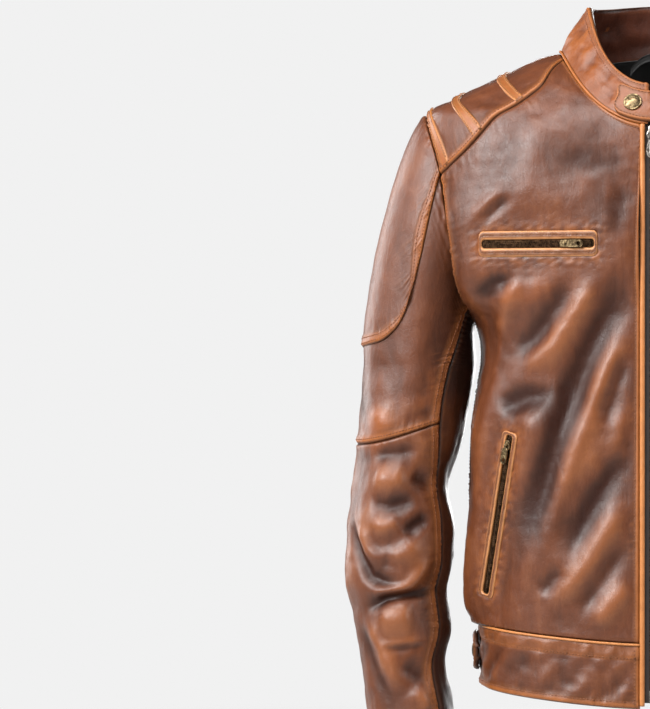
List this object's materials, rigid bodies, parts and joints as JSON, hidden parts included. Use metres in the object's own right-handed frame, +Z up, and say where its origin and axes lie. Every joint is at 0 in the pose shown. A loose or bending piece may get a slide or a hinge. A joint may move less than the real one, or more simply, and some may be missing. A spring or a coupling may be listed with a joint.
{
  "type": "leather riding jacket",
  "caption": "Waist-length leather riding jacket with band collar, snap tab, banded shoulders, front zip, zipped chest and hand pockets, hem band and waist tabs.",
  "frame": {"origin": "top edge of the hanger loop at the inside back of the neck", "axes": "+Z up, -Y out of the front, +X towards the wearer's left"},
  "size_m": [0.608, 0.2548, 0.7601],
  "materials": {
    "brown_leather": "waxed, hand-rubbed, satin with creased highlights",
    "tan_leather": "rubbed tan bands and pocket edges",
    "lining_cloth": "smooth black lining twill",
    "zip_teeth": "dark antique brass teeth on cloth tape",
    "zip_nickel": "worn antique nickel",
    "antique_brass": "antique brass, brushed high spots",
    "snap_brass": "brushed brass cap"
  },
  "bodies": {
    "jacket": {"back_lining": "lining_cloth", "back_panel": "brown_leather", "chest_zip_chain_left": "zip_teeth", "chest_zip_chain_right": "zip_teeth", "chest_zip_frame_left": "tan_leather", "chest_zip_frame_right": "tan_leather", "collar_facing": "brown_leather", "collar_outer": "brown_leather", "collar_snap_stud": "zip_nickel", "front_panel_left": "brown_leather", "front_panel_right": "brown_leather", "hand_zip_chain_left": "zip_teeth", "hand_zip_chain_right": "zip_teeth", "hand_zip_frame_left": "tan_leather", "hand_zip_frame_right": "tan_leather", "hanger_loop": "lining_cloth", "hem_back": "brown_leather", "hem_front_left": "brown_leather", "hem_front_right": "brown_leather", "shoulder_band_1_left": "tan_leather", "shoulder_band_1_right": "tan_leather", "shoulder_band_2_left": "tan_leather", "shoulder_band_2_right": "tan_leather", "shoulder_band_3_left": "tan_leather", "shoulder_band_3_right": "tan_leather", "shoulder_panel_left": "brown_leather", "shoulder_panel_right": "brown_leather", "sleeve_elbow_left": "brown_leather", "sleeve_elbow_right": "brown_leather", "sleeve_patch_left": "brown_leather", "sleeve_patch_right": "brown_leather", "sleeve_upper_left": "brown_leather", "sleeve_upper_right": "brown_leather", "under_upper_left": "brown_leather", "under_upper_right": "brown_leather", "zip_half_left": "zip_teeth", "zip_half_right": "zip_teeth", "zip_stop": "zip_nickel"},
    "forearm_right": {"sleeve_lower_right": "brown_leather", "under_lower_right": "brown_leather", "cuff_right": "brown_leather"},
    "forearm_left": {"sleeve_lower_left": "brown_leather", "under_lower_left": "brown_leather", "cuff_left": "brown_leather"},
    "collar_tab": {"collar_tab": "brown_leather", "collar_snap_cap": "snap_brass"},
    "waist_tab_right": {"waist_tab_right": "brown_leather"},
    "waist_tab_left": {"waist_tab_left": "brown_leather"},
    "main_slider": {"zip_slider": "zip_nickel"},
    "main_puller": {"zip_puller": "zip_nickel"},
    "chest_slider_right": {"chest_zip_slider_right": "antique_brass"},
    "chest_puller_right": {"chest_zip_puller_right": "antique_brass"},
    "hand_slider_right": {"hand_zip_slider_right": "antique_brass"},
    "hand_puller_right": {"hand_zip_puller_right": "antique_brass"},
    "chest_slider_left": {"chest_zip_slider_left": "antique_brass"},
    "chest_puller_left": {"chest_zip_puller_left": "antique_brass"},
    "hand_slider_left": {"hand_zip_slider_left": "antique_brass"},
    "hand_puller_left": {"hand_zip_puller_left": "antique_brass"}
  },
  "joints": [
    {"name": "main_zip_slide", "type": "slide", "parent": "jacket", "child": "main_slider", "axis": [0, -0.0313, -0.9995], "range_m": [0, 0.51]},
    {"name": "main_pull_swing", "type": "hinge", "parent": "main_slider", "child": "main_puller", "pos_m": [0, -0.17621, -0.08957], "axis": [-1, 0, 0], "range_deg": [0, 100]},
    {"name": "collar_tab_open", "type": "hinge", "parent": "jacket", "child": "collar_tab", "pos_m": [0.0115, -0.1672, -0.064], "axis": [0, 0.4384, 0.8988], "range_deg": [0, 130]},
    {"name": "chest_zip_slide_right", "type": "slide", "parent": "jacket", "child": "chest_slider_right", "axis": [-0.974, 0.2264, 0], "range_m": [-0.02, 0.074]},
    {"name": "chest_pull_swing_right", "type": "hinge", "parent": "chest_slider_right", "child": "chest_puller_right", "pos_m": [-0.0831, -0.17615, -0.19717], "axis": [0.0047, 0.0201, -0.9998], "range_deg": [0, 100]},
    {"name": "hand_zip_slide_right", "type": "slide", "parent": "jacket", "child": "hand_slider_right", "axis": [-0.1565, 0.1581, -0.9749], "range_m": [0, 0.13]},
    {"name": "hand_pull_swing_right", "type": "hinge", "parent": "hand_slider_right", "child": "hand_puller_right", "pos_m": [-0.14311, -0.15462, -0.3948], "axis": [-0.7377, 0.6377, 0.2218], "range_deg": [0, 100]},
    {"name": "waist_tab_open_right", "type": "hinge", "parent": "jacket", "child": "waist_tab_right", "pos_m": [-0.172, -0.0195, -0.5992], "axis": [0, 0, -1], "range_deg": [0, 17]},
    {"name": "elbow_bend_right", "type": "hinge", "parent": "jacket", "child": "forearm_right", "pos_m": [-0.246, -0.058, -0.392], "axis": [-1, 0, 0], "range_deg": [0, 60], "deforming": ["sleeve_elbow_right"]},
    {"name": "chest_zip_slide_left", "type": "slide", "parent": "jacket", "child": "chest_slider_left", "axis": [0.974, 0.2264, 0], "range_m": [-0.02, 0.074]},
    {"name": "chest_pull_swing_left", "type": "hinge", "parent": "chest_slider_left", "child": "chest_puller_left", "pos_m": [0.0831, -0.17615, -0.19717], "axis": [0.0047, -0.0201, 0.9998], "range_deg": [0, 100]},
    {"name": "hand_zip_slide_left", "type": "slide", "parent": "jacket", "child": "hand_slider_left", "axis": [0.1565, 0.1581, -0.9749], "range_m": [0, 0.13]},
    {"name": "hand_pull_swing_left", "type": "hinge", "parent": "hand_slider_left", "child": "hand_puller_left", "pos_m": [0.14311, -0.15462, -0.3948], "axis": [-0.7377, -0.6377, -0.2218], "range_deg": [0, 100]},
    {"name": "waist_tab_open_left", "type": "hinge", "parent": "jacket", "child": "waist_tab_left", "pos_m": [0.172, -0.0195, -0.5992], "axis": [0, 0, 1], "range_deg": [0, 17]},
    {"name": "elbow_bend_left", "type": "hinge", "parent": "jacket", "child": "forearm_left", "pos_m": [0.246, -0.058, -0.392], "axis": [-1, 0, 0], "range_deg": [0, 60], "deforming": ["sleeve_elbow_left"]}
  ]
}
